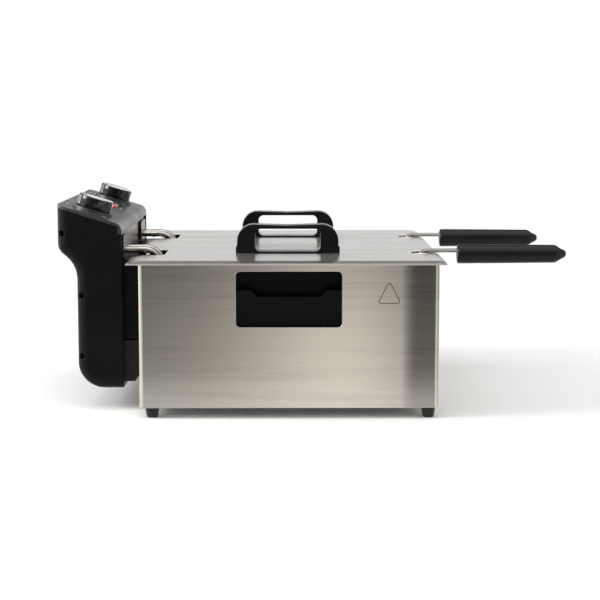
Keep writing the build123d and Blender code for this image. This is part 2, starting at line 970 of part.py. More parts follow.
def slab_x(x0, x1, y, z, width, height, radius):
    # A block along X whose long corners are rounded.
    plan = Plane.YZ * RectangleRounded(width, height, radius)
    return Pos(x0, y, z) * extrude(plan, x1 - x0)


def safety_plunger():
    inner = front_plate_face - front_plate_sheet - plunger_inside
    pin = rod_x(inner, -half_length - plunger_gap, 0, plunger_z, plunger_radius)
    return fillet(pin.faces().sort_by(Axis.X)[-1].edges(), 1.0)


def safety_switch():
    length, width, height = switch_size
    x1 = front_plate_face - front_plate_sheet - plunger_inside - switch_travel_room
    return block(x1 - length, x1, -width / 2, width / 2, plunger_z - height / 2, plunger_z + height / 2)


def terminal_block():
    length, width, height = terminal_size
    x0 = head_neck + head_wall
    body = block(x0, x0 + length, -width / 2, width / 2, terminal_z, terminal_z + height)
    ways = 4
    for i in range(ways):
        y = (i - (ways - 1) / 2) * width / ways
        body -= rod_x(x0 + length - 8, x0 + length, y, terminal_z + height / 2, 2.5)
    return body


def cord_gland():
    back = head_neck - gland_flange_thickness
    flange = rod_x(back, head_neck, gland_y, gland_z, gland_flange)
    barrel = rod_x(back, back + gland_length, gland_y, gland_z, gland_radius)
    return flange + barrel - rod_x(back, back + gland_length, gland_y, gland_z, gland_bore)


def tube_places():
    return [-tank_y - tube_spacing / 2, -tank_y + tube_spacing / 2]


def heating_element():
    # Half the route is listed: in from the head, down, out to the side and along to the far end.
    near = -tank_y - tube_spacing / 2
    low = -tank_y - element_half_width
    turn_in = tube_drop_x + element_turn_in
    half_route = [
        (tube_start, near, tube_z),
        (tube_drop_x, near, tube_z),
        (tube_drop_x, near, element_z),
        (turn_in, near, element_z),
        (turn_in + element_turn_out, low, element_z),
        (tank_end - element_front_gap, low, element_z),
    ]
    loop_bend = element_half_width - element_loop_flat / 2
    half_bends = [tube_top_bend, tube_bottom_bend, element_side_bend, element_side_bend, loop_bend]
    other_half = [(x, -2 * tank_y - y, z) for x, y, z in reversed(half_route)]
    path = FilletPolyline(*half_route, *other_half, radius=half_bends + half_bends[::-1])
    section = Plane(origin=half_route[0], z_dir=(1, 0, 0)) * Circle(tube_radius)
    return sweep(section, path=path)


def element_plate():
    # It stands off the front plate on two short bosses.
    x0 = element_plate_face - element_plate_sheet
    x1 = element_plate_face
    middle = (element_plate_top + element_plate_bottom) / 2
    height = element_plate_top - element_plate_bottom
    plate = slab_x(x0, x1, -tank_y, middle, element_plate_width, height, element_plate_corner)
    for y in tube_places():
        plate -= rod_x(x0, x1, y, tube_z, tube_radius + tube_fit)
    plate -= rod_x(x0, x1, -tank_y, tube_z, probe_radius + tube_fit)
    for side in (-1, 1):
        y = -tank_y + side * (element_plate_width / 2 - boss_inset_side)
        plate += rod_x(front_plate_face, x0, y, element_plate_top - boss_inset_top, boss_radius)
    return plate


def thermostat_probe():
    # A capillary that carries its sensing bulb down among the element's legs.
    y = -tank_y
    turn = tube_drop_x - probe_behind_legs
    foot_z = element_z + probe_above_loop
    route = [(tube_start + probe_shorter, y, tube_z), (turn, y, tube_z), (turn, y, foot_z)]
    path = FilletPolyline(*route, radius=probe_bend)
    section = Plane(origin=route[0], z_dir=(1, 0, 0)) * Circle(probe_radius)
    bulb = rod_z(turn, y, foot_z, foot_z + probe_bulb_length, probe_bulb_radius)
    return sweep(section, path=path) + bulb


def both_sides(name, shape):
    return {name + "_near": shape, name + "_far": far(shape)}


def build():
    outer = head_solid(0)
    nodes = {
        "housing_shell": housing_shell(),
        "base_plate": base_plate(),
        "tank_support_bar": tank_support_bar(),
        "foot_screws": foot_screws(),
        "base_screws": base_screws(),
        "side_handle_screws": side_handle_screws(),
        "guide_rail_near": guide_rail(-rail_y),
        "guide_rail_far": guide_rail(rail_y),
        "guide_rail_screws": guide_rail_screws(),
        "head_cover": head_cover(outer),
        "head_side_screws": head_side_screws(),
        "control_panel": control_panel(outer),
        "head_front_plate": head_front_plate(),
        "slide_block": slide_block(),
        "lower_spacer": lower_spacer(),
        "slide_block_screws": slide_block_screws(),
        "power_lamp": lamp(lamp_places()[0]),
        "ready_lamp": lamp(lamp_places()[1]),
        "thermal_cutout": thermal_cutout(),
        "reset_button": reset_button(),
        "safety_switch": safety_switch(),
        "safety_plunger": safety_plunger(),
        "terminal_block": terminal_block(),
        "cord_gland": cord_gland(),
    }
    for name, (x, y) in foot_places().items():
        nodes["foot_" + name] = foot(x, y)
    for name, maker in (
        ("side_handle", side_handle),
        ("tank", tank),
        ("lid", lid),
        ("lid_handle", lid_handle),
        ("lid_handle_screws", lid_handle_screws),
        ("basket", basket),
        ("basket_bracket", basket_bracket),
        ("handle_wires", handle_wires),
        ("grip", grip),
        ("grip_screws", grip_screws),
        ("knob", knob),
        ("knob_shaft", knob_shaft),
        ("thermostat", thermostat),
        ("heating_element", heating_element),
        ("element_plate", element_plate),
        ("thermostat_probe", thermostat_probe),
    ):
        nodes.update(both_sides(name, maker()))
    return nodes


for node, shape in build().items():
    export_step(Pos(-object_middle, 0, 0) * shape, "parts/" + node + ".step")
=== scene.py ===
import json
import math
import bmesh
import bpy
from mathutils import Matrix, Vector

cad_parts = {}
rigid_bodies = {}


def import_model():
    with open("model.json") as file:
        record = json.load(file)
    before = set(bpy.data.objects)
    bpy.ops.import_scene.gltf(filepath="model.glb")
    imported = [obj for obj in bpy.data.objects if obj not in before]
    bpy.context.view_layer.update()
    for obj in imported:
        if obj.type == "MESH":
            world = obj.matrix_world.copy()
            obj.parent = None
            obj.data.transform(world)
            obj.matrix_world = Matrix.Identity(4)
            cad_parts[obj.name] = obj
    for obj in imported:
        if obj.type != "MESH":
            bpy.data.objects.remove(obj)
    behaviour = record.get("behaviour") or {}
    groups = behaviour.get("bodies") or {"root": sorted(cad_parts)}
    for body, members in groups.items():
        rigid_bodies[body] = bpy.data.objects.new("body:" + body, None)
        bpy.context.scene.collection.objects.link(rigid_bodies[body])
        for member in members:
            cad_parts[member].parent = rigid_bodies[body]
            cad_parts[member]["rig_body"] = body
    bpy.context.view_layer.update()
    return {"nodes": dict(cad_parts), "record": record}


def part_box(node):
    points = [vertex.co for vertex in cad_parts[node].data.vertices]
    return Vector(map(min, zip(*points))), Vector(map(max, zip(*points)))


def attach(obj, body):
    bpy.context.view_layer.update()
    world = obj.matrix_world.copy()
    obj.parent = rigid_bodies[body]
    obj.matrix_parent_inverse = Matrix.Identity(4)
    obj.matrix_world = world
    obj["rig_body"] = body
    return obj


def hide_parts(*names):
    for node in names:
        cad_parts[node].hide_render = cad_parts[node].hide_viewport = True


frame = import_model()
mm = 0.001


# Helpers.

def linear(hexColour):
    # sRGB hex to linear, with alpha
    values = [int(hexColour[i:i + 2], 16) / 255 for i in (0, 2, 4)]
    return tuple(v / 12.92 if v < 0.04045 else ((v + 0.055) / 1.055) ** 2.4 for v in values) + (1.0,)


def add(tree, kind, inputs=None, **settings):
    # one node, its settings, and its inputs as plain values or as the sockets that feed them
    node = tree.nodes.new(kind)
    for name, value in settings.items():
        setattr(node, name, value)
    for name, value in (inputs or {}).items():
        if isinstance(value, bpy.types.NodeSocket):
            tree.links.new(value, node.inputs[name])
        else:
            node.inputs[name].default_value = value
    return node


def math2(tree, operation, a, b):
    return add(tree, "ShaderNodeMath", {0: a, 1: b}, operation=operation).outputs[0]


def boxMiddle(node):
    low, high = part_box(node)
    return (low + high) / 2


def newObject(name, data):
    made = bpy.data.objects.new(name, data)
    bpy.context.scene.collection.objects.link(made)
    return made


def toMesh(name, shape):
    mesh = bpy.data.meshes.new(name)
    shape.to_mesh(mesh)
    shape.free()
    return mesh


def plainMesh(holder):
    # the mesh that an object shows with its modifiers on; the object itself is removed
    bpy.context.view_layer.update()
    graph = bpy.context.evaluated_depsgraph_get()
    mesh = bpy.data.meshes.new_from_object(holder.evaluated_get(graph))
    bpy.data.objects.remove(holder)
    return mesh


def place(name, mesh, body, material=None, nodes=()):
    # a finished mesh becomes a piece of the object
    piece = newObject(name, mesh)
    if material:
        mesh.materials.clear()
        mesh.materials.append(material)
    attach(piece, body)
    if nodes:
        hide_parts(*nodes)
    return piece


def smooth(mesh, angle=35):
    mesh.shade_smooth()
    mesh.set_sharp_from_angle(angle=math.radians(angle))


def evaluated(name, mesh, modifiers):
    # the plain mesh that a list of modifiers makes of a mesh
    holder = newObject(name, mesh)
    for kind, settings in modifiers:
        modifier = holder.modifiers.new(kind.lower(), kind)
        for key, value in settings.items():
            setattr(modifier, key, value)
    return plainMesh(holder)


# Camera.

camera = {
    "place": (-0.02663, -1.75284, 0.31602),
    "tilt": 82.860,
    "turn": -0.4005,
    "lens": 95.444,
    "sensor": 36.0,
}


def makeCamera():
    lens = bpy.data.cameras.new("camera")
    lens.lens = camera["lens"]
    lens.sensor_width = camera["sensor"]
    lens.clip_end = 50
    eye = newObject("camera", lens)
    eye.location = camera["place"]
    eye.rotation_euler = (math.radians(camera["tilt"]), 0, math.radians(camera["turn"]))
    bpy.context.scene.camera = eye


makeCamera()
print("camera placed")


# Materials.

def newMaterial(name):
    material = bpy.data.materials.new(name)
    material.use_nodes = True
    tree = material.node_tree
    tree.nodes.clear()
    return material, tree


def finish(tree, settings, links=None):
    # the shader and the output, with the constant values on the shader's own sockets
    shader = add(tree, "ShaderNodeBsdfPrincipled", settings)
    for name, socket in (links or {}).items():
        tree.links.new(socket, shader.inputs[name])
    add(tree, "ShaderNodeOutputMaterial", {"Surface": shader.outputs[0]})


def stretched(tree, scale, detail=3.0, roughness=0.6):
    # a noise stretched along one or two axes; scale is repeats per metre on X, Y and Z
    where = add(tree, "ShaderNodeTexCoord")
    turned = add(tree, "ShaderNodeMapping", {"Vector": where.outputs["Object"], "Scale": scale})
    inputs = {"Vector": turned.outputs[0], "Scale": 1.0, "Detail": detail, "Roughness": roughness}
    return add(tree, "ShaderNodeTexNoise", inputs).outputs[0]


def between(tree, factor, low, high, fromLow=0.0, fromHigh=1.0):
    inputs = {0: factor, 1: fromLow, 2: fromHigh, 3: low, 4: high}
    return add(tree, "ShaderNodeMapRange", inputs).outputs[0]


def shades(tree, factor, dark, light, spread=(0.3, 0.7)):
    ramp = add(tree, "ShaderNodeValToRGB", {0: factor})
    ramp.color_ramp.elements[0].position = spread[0]
    ramp.color_ramp.elements[0].color = linear(dark)
    ramp.color_ramp.elements[1].position = spread[1]
    ramp.color_ramp.elements[1].color = linear(light)
    return ramp.outputs[0]


def bump(tree, height, depth, strength=1.0):
    inputs = {"Height": height, "Strength": strength, "Distance": depth}
    return add(tree, "ShaderNodeBump", inputs).outputs[0]


def brushedSteel(name, look):
    # Stainless steel sheet, belt-brushed: fine parallel scratches that smear reflections across them.
    # They are drawn coarser than the real scratches, so that they show.
    material, tree = newMaterial(name)
    fine = stretched(tree, look["grain"], detail=4.0)
    broad = stretched(tree, look["cloud"], detail=2.0)
    mixed = math2(tree, "ADD", fine, broad)
    colour = shades(tree, mixed, look["dark"], look["light"], (0.75, 1.3))
    rough = between(tree, fine, look["rough"] - 0.015, look["rough"] + 0.02, 0.3, 0.7)
    links = {"Base Color": colour, "Roughness": rough, "Normal": bump(tree, fine, look["bump"] * mm)}
    if "tangent" in look:
        links["Tangent"] = add(tree, "ShaderNodeCombineXYZ", dict(enumerate(look["tangent"]))).outputs[0]
    else:
        links["Tangent"] = add(tree, "ShaderNodeTangent", direction_type="RADIAL", axis="Z").outputs[0]
    finish(tree, {"Metallic": 1.0, "Anisotropic": look["smear"], "Anisotropic Rotation": 0.25}, links)
    return material


def drawnMetal(name, look):
    # Wire, tube and turned metal: bright, with faint drawing marks and a little haze.
    material, tree = newMaterial(name)
    haze = stretched(tree, look["haze"], detail=3.0)
    colour = shades(tree, haze, look["dark"], look["light"])
    rough = between(tree, haze, look["rough"] * 0.7, look["rough"] * 1.4, 0.3, 0.7)
    links = {"Base Color": colour, "Roughness": rough, "Normal": bump(tree, haze, look["bump"] * mm)}
    finish(tree, {"Metallic": 1.0}, links)
    return material


def mouldedPlastic(name, look):
    # Injection-moulded ABS or phenolic: a spark-eroded grain from the tool, and rubbed lighter patches.
    material, tree = newMaterial(name)
    repeats = 1 / (look["grainSize"] * mm)
    grain = stretched(tree, (repeats, repeats, repeats), detail=2.0)
    cloud = stretched(tree, (22.0, 22.0, 22.0), detail=3.0)
    colour = shades(tree, cloud, look["dark"], look["light"])
    rough = between(tree, cloud, look["rough"] - 0.05, look["rough"] + 0.06, 0.3, 0.7)
    links = {"Base Color": colour, "Roughness": rough, "Normal": bump(tree, grain, look["bump"] * mm)}
    settings = {
        "IOR": 1.5, "Specular IOR Level": look["shine"], "Coat Weight": look.get("coat", 0.0),
        "Coat Roughness": 0.06,
    }
    finish(tree, settings, links)
    return material


def enamelBlack():
    # Vitreous enamel on drawn steel: glossy black glass with pale specks and orange peel.
    material, tree = newMaterial("vitreous enamel, black speckled")
    speck = stretched(tree, (900.0, 900.0, 900.0), detail=1.0)
    peel = stretched(tree, (160.0, 160.0, 160.0), detail=1.0)
    colour = shades(tree, speck, "0c0c0e", "8d8f92", (0.66, 0.74))
    rough = between(tree, peel, 0.12, 0.24)
    links = {"Base Color": colour, "Roughness": rough, "Normal": bump(tree, peel, 0.03 * mm)}
    finish(tree, {"IOR": 1.55, "Coat Weight": 0.5, "Coat Roughness": 0.08}, links)
    return material


def lampLens(name, dark, light):
    # Clear coloured polycarbonate lens: glows a little through its ribbed inside.
    material, tree = newMaterial(name)
    ribs = stretched(tree, (1400.0, 200.0, 1400.0), detail=1.0)
    colour = shades(tree, ribs, dark, light)
    links = {"Base Color": colour, "Normal": bump(tree, ribs, 0.05 * mm), "Emission Color": colour}
    settings = {"Roughness": 0.12, "IOR": 1.58, "Emission Strength": 0.35, "Coat Weight": 1.0}
    finish(tree, settings, links)
    return material


def paleCeramic():
    # Steatite and glass-filled nylon for the switches: matt, chalky, slightly mottled.
    material, tree = newMaterial("steatite, pressed and fired")
    mottle = stretched(tree, (300.0, 300.0, 300.0), detail=4.0)
    colour = shades(tree, mottle, "c9c2b2", "e4dfd2")
    links = {"Base Color": colour, "Normal": bump(tree, mottle, 0.06 * mm)}
    finish(tree, {"Roughness": 0.72, "IOR": 1.52}, links)
    return material


def mouldedRubber():
    # Nitrile rubber: dull, dusty black with a soft bloom on it.
    material, tree = newMaterial("nitrile rubber, moulded")
    bloom = stretched(tree, (260.0, 260.0, 260.0), detail=4.0)
    colour = shades(tree, bloom, "121212", "2a2928")
    links = {"Base Color": colour, "Normal": bump(tree, bloom, 0.08 * mm)}
    finish(tree, {"Roughness": 0.78, "IOR": 1.5, "Sheen Weight": 0.15}, links)
    return material


def padPrint(name, dark, light):
    # Pad-printed ink: flat, slightly uneven cover.
    material, tree = newMaterial(name)
    cover = stretched(tree, (2500.0, 2500.0, 2500.0), detail=2.0)
    colour = shades(tree, cover, dark, light)
    links = {"Base Color": colour, "Normal": bump(tree, cover, 0.01 * mm)}
    finish(tree, {"Roughness": 0.55}, links)
    return material


steelLooks = {
    "casing_steel": dict(
        grain=(14.0, 14.0, 2400.0), cloud=(3.0, 3.0, 60.0), dark="c8c3bb", light="d8d3ca",
        rough=0.13, smear=0.75, bump=0.0012,
    ),
    "lid_steel": dict(
        grain=(14.0, 1300.0, 700.0), cloud=(4.0, 30.0, 30.0), dark="cfccc8", light="e2dfdc",
        rough=0.24, smear=0.68, bump=0.002, tangent=(1.0, 0.0, 0.0),
    ),
    # plate steel: its colour is darkened to paint the darker reflection the tank-side plate would show
    # (painted shade, not the steel's own tone)
    "plate_steel": dict(
        grain=(900.0, 20.0, 900.0), cloud=(20.0, 20.0, 20.0), dark="4b453f", light="625b53",
        rough=0.34, smear=0.4, bump=0.015, tangent=(0.0, 1.0, 0.0),
    ),
    # base plate: its zinc colour is darkened to paint the shade under the casing between the feet
    "base_zinc": dict(
        grain=(120.0, 120.0, 120.0), cloud=(40.0, 40.0, 40.0), dark="55575a", light="77797c",
        rough=0.42, smear=0.0, bump=0.02,
    ),
}
metalLooks = {
    "fastener": ("steel, zinc-plated and rolled", dict(
        haze=(500.0, 500.0, 500.0), dark="77767a", light="9a999c", rough=0.3, bump=0.01)),
    "basket_wire": ("steel wire, nickel-plated", dict(
        haze=(300.0, 300.0, 300.0), dark="9a9791", light="c4c2bd", rough=0.2, bump=0.01)),
    "chrome_wire": ("steel wire, chrome-plated", dict(
        haze=(60.0, 400.0, 400.0), dark="7d7b79", light="a9a7a5", rough=0.1, bump=0.004)),
    "element_tube": ("nickel-alloy tube, drawn and annealed", dict(
        haze=(80.0, 300.0, 300.0), dark="98928a", light="c9c5be", rough=0.18, bump=0.008)),
    "shaft_brass": ("brass, turned", dict(
        haze=(300.0, 300.0, 300.0), dark="a88a45", light="c9ac63", rough=0.25, bump=0.01)),
}
plasticLooks = {
    "head_plastic": ("ABS, moulded with a fine grain", dict(
        grainSize=0.9, bump=0.03, dark="0b0b0b", light="101010", rough=0.42, shine=0.12)),
    "panel_plastic": ("ABS, moulded with a coarse grain", dict(
        grainSize=1.0, bump=0.08, dark="181717", light="222121", rough=0.36, shine=1.0)),
    "spacer_plastic": ("polyamide, moulded and glass-filled", dict(
        grainSize=0.8, bump=0.05, dark="1b1917", light="262320", rough=0.5, shine=0.3)),
    "recess_plastic": ("polypropylene, moulded smooth", dict(
        grainSize=1.4, bump=0.012, dark="0a0a0a", light="0e0e0e", rough=0.3, shine=0.14)),
    "handle_plastic": ("phenolic, moulded satin", dict(
        grainSize=1.1, bump=0.012, dark="0b0b0b", light="111111", rough=0.28, shine=0.2)),
    "grip_plastic": ("phenolic, moulded satin, rubbed", dict(
        grainSize=1.0, bump=0.015, dark="0e0d0c", light="161413", rough=0.33, shine=0.25)),
    "knob_plastic": ("ABS, moulded gloss", dict(
        grainSize=1.2, bump=0.003, dark="080808", light="0d0d0d", rough=0.12, shine=0.4, coat=0.5)),
}
materials = {slot: brushedSteel("stainless steel, " + slot, look) for slot, look in steelLooks.items()}
materials.update({slot: drawnMetal(name, look) for slot, (name, look) in metalLooks.items()})
materials.update({slot: mouldedPlastic(name, look) for slot, (name, look) in plasticLooks.items()})
materials["tank_enamel"] = enamelBlack()
materials["ceramic_plastic"] = paleCeramic()
materials["rubber_black"] = mouldedRubber()
materials["lamp_red"] = lampLens("polycarbonate, clear red", "8c0a12", "e03038")
materials["lamp_green"] = lampLens("polycarbonate, clear green", "0c4a1e", "2f8f4a")
inkWhite = padPrint("pad-printed ink, white", "dcdcdc", "f6f6f6")
inkGrey = padPrint("acid-etched steel, dull", "57524b", "6b655d")
blackScrew = drawnMetal("steel, blackened", dict(
    haze=(500.0, 500.0, 500.0), dark="0c0c0c", light="1c1c1c", rough=0.4, bump=0.01))
print("materials made:", len(materials) + 3)


# Pieces that follow the design's own solids.

slots = {part["node"]: part["material_slot"] for part in frame["record"]["subparts"]}
edgeRounding = {  # the rounding of sharp edges in mm, and how many steps it takes
    "housing_shell": (0.35, 2),
    "base_plate": (0.2, 1),
    "tank_support_bar": (0.3, 1),
    "foot_rear": (0.5, 2),
    "foot_front": (0.5, 2),
    "guide_rail": (0.3, 1),
    "tank": (0.25, 2),
    "lid": (0.3, 2),
    "lid_handle": (1.0, 3),
    "head_cover": (0.7, 3),
    "control_panel": (0.3, 2),
    "head_front_plate": (0.25, 1),
    "slide_block": (0.8, 2),
    "lower_spacer": (0.8, 2),
    "thermal_cutout": (0.6, 2),
    "safety_switch": (0.6, 2),
    "terminal_block": (0.6, 2),
    "thermostat": (0.6, 2),
    "reset_button": (0.5, 2),
    "cord_gland": (0.6, 2),
    "basket_bracket": (0.25, 1),
    "handle_wires": (0.4, 2),
    "element_plate": (0.3, 2),
    "knob_shaft": (0.4, 1),
    "safety_plunger": (0.2, 1),
}
sheetBow = {"start": 112.0, "end": 145.0, "depth": 1.2, "lines": 14}


def welded(node):
    shape = bmesh.new()
    shape.from_mesh(frame["nodes"][node].data)
    bmesh.ops.remove_doubles(shape, verts=shape.verts, dist=1e-6)
    return shape


def bowSheet(shape):
    # the long sides pull in a little towards the front corner, as folded sheet does
    low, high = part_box("housing_shell")
    middle = (low.x + high.x) / 2
    start = middle + sheetBow["start"] * mm
    length = (sheetBow["end"] - sheetBow["start"]) * mm
    for i in range(sheetBow["lines"] + 1):
        cut = Vector((start + length * i / sheetBow["lines"], 0, 0))
        geometry = shape.verts[:] + shape.edges[:] + shape.faces[:]
        bmesh.ops.bisect_plane(shape, geom=geometry, plane_co=cut, plane_no=(1, 0, 0), dist=1e-7)
    for vertex in shape.verts:
        along = (vertex.co.x - start) / length
        if along > 0 and high.y - abs(vertex.co.y) < 1.5 * mm:
            inward = sheetBow["depth"] * mm * min(along, 1.0) ** 2
            vertex.co.y -= math.copysign(inward, vertex.co.y)


def followSolid(node):
    family = node.replace("_near", "").replace("_far", "")
    width, steps = edgeRounding.get(family, (0, 0))
    shape = welded(node)
    bmesh.ops.dissolve_limit(shape, angle_limit=math.radians(0.1), verts=shape.verts, edges=shape.edges)
    if node == "housing_shell":
        bowSheet(shape)
    if width:
        sharp = [e for e in shape.edges if len(e.link_faces) == 2 and e.calc_face_angle() > math.radians(32)]
        bmesh.ops.bevel(
            shape, geom=sharp, offset=width * mm, offset_type="OFFSET", segments=steps, profile=0.5,
            affect="EDGES", clamp_overlap=False, loop_slide=False,
        )
    # nothing leaves the solid's own box
    low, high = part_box(node)
    for vertex in shape.verts:
        vertex.co = Vector(min(max(vertex.co[i], low[i]), high[i]) for i in range(3))
    mesh = toMesh(node + "_finished", shape)
    smooth(mesh, 40)
    mesh = evaluated(node, mesh, [("WEIGHTED_NORMAL", {"keep_sharp": True, "weight": 80})])
    slot = slots[node]
    place(node + "_finished", mesh, frame["nodes"][node]["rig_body"], materials[slot], [node])


madeHere = ("basket_near", "basket_far", "knob_near", "knob_far", "grip_near", "grip_far")
followed = [node for node in sorted(frame["nodes"]) if node not in madeHere and "_screws" not in node]
for node in followed:
    followSolid(node)
print("pieces that follow the solids:", len(followed))


# Geometry node trees.

def newTree(name, sockets):
    tree = bpy.data.node_groups.new(name, "GeometryNodeTree")
    tree.interface.new_socket("Geometry", in_out="INPUT", socket_type="NodeSocketGeometry")
    for socketName, kind in sockets.items():
        tree.interface.new_socket(socketName, in_out="INPUT", socket_type="NodeSocket" + kind)
    tree.interface.new_socket("Geometry", in_out="OUTPUT", socket_type="NodeSocketGeometry")
    return tree, add(tree, "NodeGroupInput").outputs


def closeTree(tree, geometry, material):
    real = add(tree, "GeometryNodeRealizeInstances", {0: geometry})
    painted = add(tree, "GeometryNodeSetMaterial", {"Geometry": real.outputs[0], "Material": material})
    add(tree, "NodeGroupOutput", {0: painted.outputs[0]})


def grow(tree, values, start=None):
    # the plain mesh that a tree makes, with its inputs set by their identifiers
    holder = newObject("holder", start or bpy.data.meshes.new("holder"))
    modifier = holder.modifiers.new("grown", "NODES")
    modifier.node_group = tree
    for item in tree.interface.items_tree:
        if item.in_out == "INPUT" and item.name in values:
            modifier[item.identifier] = values[item.name]
    return plainMesh(holder)


# Screws.

screwHead = 1.8 * mm


def screwTree():
    tree, given = newTree("crossRecessScrew", {
        "Head Radius": "Float", "Head Height": "Float", "Shank Radius": "Float", "Shank Length": "Float",
        "Recess Length": "Float", "Recess Width": "Float", "Recess Depth": "Float",
    })
    head = add(tree, "GeometryNodeMeshCone", {
        "Vertices": 24, "Radius Bottom": given["Head Radius"], "Depth": given["Head Height"],
        "Radius Top": math2(tree, "MULTIPLY", given["Head Radius"], 0.8),
    })
    shank = add(tree, "GeometryNodeMeshCylinder", {
        "Vertices": 16, "Radius": given["Shank Radius"], "Depth": given["Shank Length"],
    })
    down = add(tree, "ShaderNodeCombineXYZ", {2: math2(tree, "MULTIPLY", given["Shank Length"], -0.5)})
    lowered = add(tree, "GeometryNodeTransform", {
        "Geometry": shank.outputs[0], "Translation": down.outputs[0],
    })
    arms = []
    deep = math2(tree, "MULTIPLY", given["Recess Depth"], 2.0)
    for first, second in (("Recess Length", "Recess Width"), ("Recess Width", "Recess Length")):
        size = add(tree, "ShaderNodeCombineXYZ", {0: given[first], 1: given[second], 2: deep})
        arms.append(add(tree, "GeometryNodeMeshCube", {"Size": size.outputs[0]}))
    lift = add(tree, "ShaderNodeCombineXYZ", {2: given["Head Height"]})
    cut = head.outputs[0]
    for arm in arms:
        raised = add(tree, "GeometryNodeTransform", {
            "Geometry": arm.outputs[0], "Translation": lift.outputs[0],
        })
        minus = add(tree, "GeometryNodeMeshBoolean", {0: cut}, operation="DIFFERENCE", solver="EXACT")
        tree.links.new(raised.outputs[0], minus.inputs["Mesh 2"])
        cut = minus.outputs[0]
    whole = add(tree, "GeometryNodeJoinGeometry")
    tree.links.new(lowered.outputs[0], whole.inputs[0])
    tree.links.new(cut, whole.inputs[0])
    facing = add(tree, "GeometryNodeInputNamedAttribute", {"Name": "facing"}, data_type="FLOAT_VECTOR")
    turned = add(tree, "FunctionNodeAlignRotationToVector", {"Vector": facing.outputs[0]}, axis="Z")
    spread = add(tree, "GeometryNodeInstanceOnPoints", {
        "Points": given["Geometry"], "Instance": whole.outputs[0], "Rotation": turned.outputs[0],
    })
    closeTree(tree, spread.outputs[0], materials["fastener"])
    return tree


def islandBoxes(node):
    # the box of each separate solid in a node, in a fixed order
    shape = welded(node)
    waiting = set(shape.verts)
    boxes = []
    while waiting:
        island, queue = set(), [waiting.pop()]
        while queue:
            vertex = queue.pop()
            island.add(vertex)
            for edge in vertex.link_edges:
                other = edge.other_vert(vertex)
                if other in waiting:
                    waiting.remove(other)
                    queue.append(other)
        places = [v.co.copy() for v in island]
        low = Vector(min(p[i] for p in places) for i in range(3))
        high = Vector(max(p[i] for p in places) for i in range(3))
        boxes.append((low, high))
    shape.free()
    return sorted(boxes, key=lambda box: tuple(box[0]))


def makeScrews(node, facingOf, tree):
    # all the screws of a set have the size of its last one
    points, directions = [], []
    for low, high in islandBoxes(node):
        middle = (low + high) / 2
        facing = facingOf(middle)
        half = abs((high - low).dot(facing)) / 2
        points.append(middle + facing * (half - screwHead))
        directions.append(facing)
        length = 2 * half - screwHead
        radius = sorted(high - low)[1] / 2 if half * 2 > min(high - low) * 1.01 else max(high - low) / 2
    start = bpy.data.meshes.new("places")
    start.from_pydata(points, [], [])
    attribute = start.attributes.new("facing", "FLOAT_VECTOR", "POINT")
    attribute.data.foreach_set("vector", [c for d in directions for c in d])
    mesh = grow(tree, {
        "Head Radius": radius, "Head Height": screwHead, "Shank Radius": radius * 0.53,
        "Shank Length": length, "Recess Length": radius * 1.15, "Recess Width": radius * 0.26,
        "Recess Depth": screwHead * 0.45,
    }, start)
    smooth(mesh, 30)
    dark = blackScrew if node in ("head_side_screws", "slide_block_screws") else None
    place(node + "_finished", mesh, frame["nodes"][node]["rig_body"], dark, [node])


down, left, right = Vector((0, 0, -1)), Vector((-1, 0, 0)), Vector((1, 0, 0))


def inY(point):
    return Vector((0, -math.copysign(1, point.y), 0))


def outY(point):
    return Vector((0, math.copysign(1, point.y), 0))


screwSets = {
    "foot_screws": lambda point: down,
    "base_screws": lambda point: down,
    "side_handle_screws": inY,
    "guide_rail_screws": lambda point: right,
    "head_side_screws": outY,
    "slide_block_screws": lambda point: left,
    "lid_handle_screws_near": lambda point: down,
    "lid_handle_screws_far": lambda point: down,
    "grip_screws_near": lambda point: down,
    "grip_screws_far": lambda point: down,
}
screwShape = screwTree()
for node, facingOf in screwSets.items():
    makeScrews(node, facingOf, screwShape)
print("screws made:", len(screwSets), "sets")


# Baskets, woven from wire.

basket = {"pitch": 7.0, "wire": 0.55, "frame": 1.5, "corner": 14.0, "floorCorner": 7.0}


def roundedRing(tree, length, width, corner):
    ring = add(tree, "GeometryNodeCurvePrimitiveQuadrilateral", {"Width": length, "Height": width})
    inputs = {"Curve": ring.outputs[0], "Radius": corner, "Count": 5}
    return add(tree, "GeometryNodeFilletCurve", inputs, mode="POLY").outputs[0]


def sideways(tree, index, span, drop):
    # four points of a U: down, across and up
    late = math2(tree, "GREATER_THAN", index, 1.5)
    side = math2(tree, "MULTIPLY", math2(tree, "SUBTRACT", late, 0.5), span)
    middle = math2(tree, "LESS_THAN", math2(tree, "ABSOLUTE", math2(tree, "SUBTRACT", index, 1.5), 0), 1.0)
    depth = math2(tree, "MULTIPLY", middle, drop)
    return side, depth


